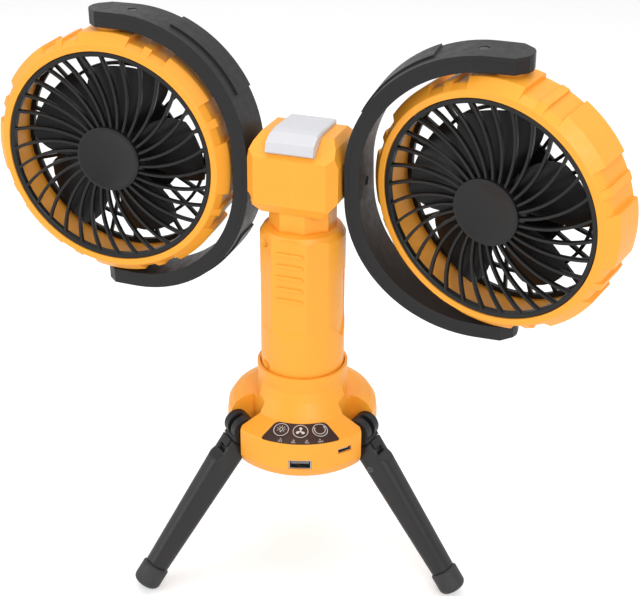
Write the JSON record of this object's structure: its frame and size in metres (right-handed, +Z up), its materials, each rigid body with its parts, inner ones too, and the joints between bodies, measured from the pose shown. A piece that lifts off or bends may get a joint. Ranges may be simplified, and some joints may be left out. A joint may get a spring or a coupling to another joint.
{
  "type": "foldable table fan",
  "caption": "Table fan with two tilting fan heads on C-brackets, a battery column with a top lamp, a swivel base with keys and USB sockets, and a folding tripod",
  "frame": {"origin": "on the table, under the axis of the column", "axes": "+X along the two fan heads to the right, -Y to the front of the column, +Z up"},
  "size_m": [0.3908, 0.2055, 0.3512],
  "materials": {
    "black_frame": "black plastic, fine grain",
    "blade": "black plastic",
    "board": "green board",
    "cell": "blue shrink sleeve",
    "key": "dark brown key cap",
    "lamp": "milky white plastic",
    "led": "milky lamp",
    "metal": "bright steel",
    "orange": "satin orange ABS",
    "panel": "dark brown film",
    "rubber": "black rubber"
  },
  "bodies": {
    "base": {"base_housing": "orange", "base_bottom_cover": "orange", "base_screws": "metal", "control_panel": "panel", "gauge_leds": "led", "main_board": "board", "usb_a_socket": "metal", "usb_c_socket": "metal", "leg_pins": "metal"},
    "column": {"column_left_shell": "orange", "column_right_shell": "orange", "column_screws": "metal", "battery_cells": "cell", "swivel_ring": "black_frame", "lamp_diffuser": "lamp", "lamp_board": "board"},
    "light_button_key": {"light_button": "key"},
    "fan_button_key": {"fan_button": "key"},
    "mode_button_key": {"mode_button": "key"},
    "left_leg_body": {"left_leg_hinge": "black_frame", "left_leg": "black_frame", "left_leg_foot": "rubber", "left_leg_screw": "metal"},
    "left_latch_body": {"left_leg_latch": "black_frame"},
    "right_leg_body": {"right_leg_hinge": "black_frame", "right_leg": "black_frame", "right_leg_foot": "rubber", "right_leg_screw": "metal"},
    "right_latch_body": {"right_leg_latch": "black_frame"},
    "rear_leg_body": {"rear_leg_hinge": "black_frame", "rear_leg": "black_frame", "rear_leg_foot": "rubber", "rear_leg_screw": "metal"},
    "rear_latch_body": {"rear_leg_latch": "black_frame"},
    "left_bracket": {"left_bracket_frame": "black_frame", "left_bracket_cover": "black_frame", "left_bracket_axle": "metal", "left_bracket_nut": "metal", "left_bracket_screws": "metal", "left_fan_pivots": "metal"},
    "left_head": {"left_fan_housing": "orange", "left_front_grille": "black_frame", "left_rear_grille": "black_frame", "left_fan_motor": "metal"},
    "left_fan_rotor": {"left_impeller": "blade", "left_motor_shaft": "metal"},
    "right_bracket": {"right_bracket_frame": "black_frame", "right_bracket_cover": "black_frame", "right_bracket_axle": "metal", "right_bracket_nut": "metal", "right_bracket_screws": "metal", "right_fan_pivots": "metal"},
    "right_head": {"right_fan_housing": "orange", "right_front_grille": "black_frame", "right_rear_grille": "black_frame", "right_fan_motor": "metal"},
    "right_fan_rotor": {"right_impeller": "blade", "right_motor_shaft": "metal"}
  },
  "joints": [
    {"name": "light_button_press", "type": "slide", "parent": "base", "child": "light_button_key", "axis": [-0.0117, 0.3929, -0.9195], "range_m": [0, 0.0005], "stiffness_N_per_m": 400},
    {"name": "fan_button_press", "type": "slide", "parent": "base", "child": "fan_button_key", "axis": [-0.1247, 0.3728, -0.9195], "range_m": [0, 0.0005], "stiffness_N_per_m": 400},
    {"name": "mode_button_press", "type": "slide", "parent": "base", "child": "mode_button_key", "axis": [-0.2272, 0.3208, -0.9195], "range_m": [0, 0.0005], "stiffness_N_per_m": 400},
    {"name": "left_leg_fold", "type": "hinge", "parent": "base", "child": "left_leg_body", "pos_m": [-0.02916, -0.03295, 0.10108], "axis": [0.749, -0.6626, 0], "range_deg": [0, 36.5]},
    {"name": "left_latch_slide", "type": "slide", "parent": "left_leg_body", "child": "left_latch_body", "axis": [-0.3969, -0.4486, -0.8007], "range_m": [0, 0.004], "stiffness_N_per_m": 300},
    {"name": "right_leg_fold", "type": "hinge", "parent": "base", "child": "right_leg_body", "pos_m": [0.04312, -0.00877, 0.10108], "axis": [0.1994, 0.9799, 0], "range_deg": [0, 36.5]},
    {"name": "right_latch_slide", "type": "slide", "parent": "right_leg_body", "child": "right_latch_body", "axis": [0.587, -0.1194, -0.8007], "range_m": [0, 0.004], "stiffness_N_per_m": 300},
    {"name": "rear_leg_fold", "type": "hinge", "parent": "base", "child": "rear_leg_body", "pos_m": [-0.01396, 0.04173, 0.10108], "axis": [-0.9483, -0.3173, 0], "range_deg": [0, 36.5]},
    {"name": "rear_latch_slide", "type": "slide", "parent": "rear_leg_body", "child": "rear_latch_body", "axis": [-0.1901, 0.5681, -0.8007], "range_m": [0, 0.004], "stiffness_N_per_m": 300},
    {"name": "column_turn", "type": "hinge", "parent": "base", "child": "column", "pos_m": [0, 0, 0.12308], "axis": [0, 0, 1], "range_deg": [-90, 90]},
    {"name": "left_bracket_turn", "type": "hinge", "parent": "column", "child": "left_bracket", "pos_m": [-0.028, 0, 0.26278], "axis": [1, 0, 0], "range_deg": [-90, 90]},
    {"name": "left_fan_turn", "type": "hinge", "parent": "left_bracket", "child": "left_head", "pos_m": [-0.119, 0, 0.26278], "axis": [0, -0.0244, 0.9997], "range_deg": [-90, 90]},
    {"name": "left_impeller_spin", "type": "hinge", "parent": "left_head", "child": "left_fan_rotor", "pos_m": [-0.119, 0, 0.26278], "axis": [0.0436, -0.9988, -0.0244], "continuous": true},
    {"name": "right_bracket_turn", "type": "hinge", "parent": "column", "child": "right_bracket", "pos_m": [0.028, 0, 0.26278], "axis": [1, 0, 0], "range_deg": [-90, 90]},
    {"name": "right_fan_turn", "type": "hinge", "parent": "right_bracket", "child": "right_head", "pos_m": [0.119, 0, 0.26278], "axis": [0, -0.1097, 0.994], "range_deg": [-90, 90]},
    {"name": "right_impeller_spin", "type": "hinge", "parent": "right_head", "child": "right_fan_rotor", "pos_m": [0.119, 0, 0.26278], "axis": [-0.2656, -0.9583, -0.1058], "continuous": true}
  ]
}
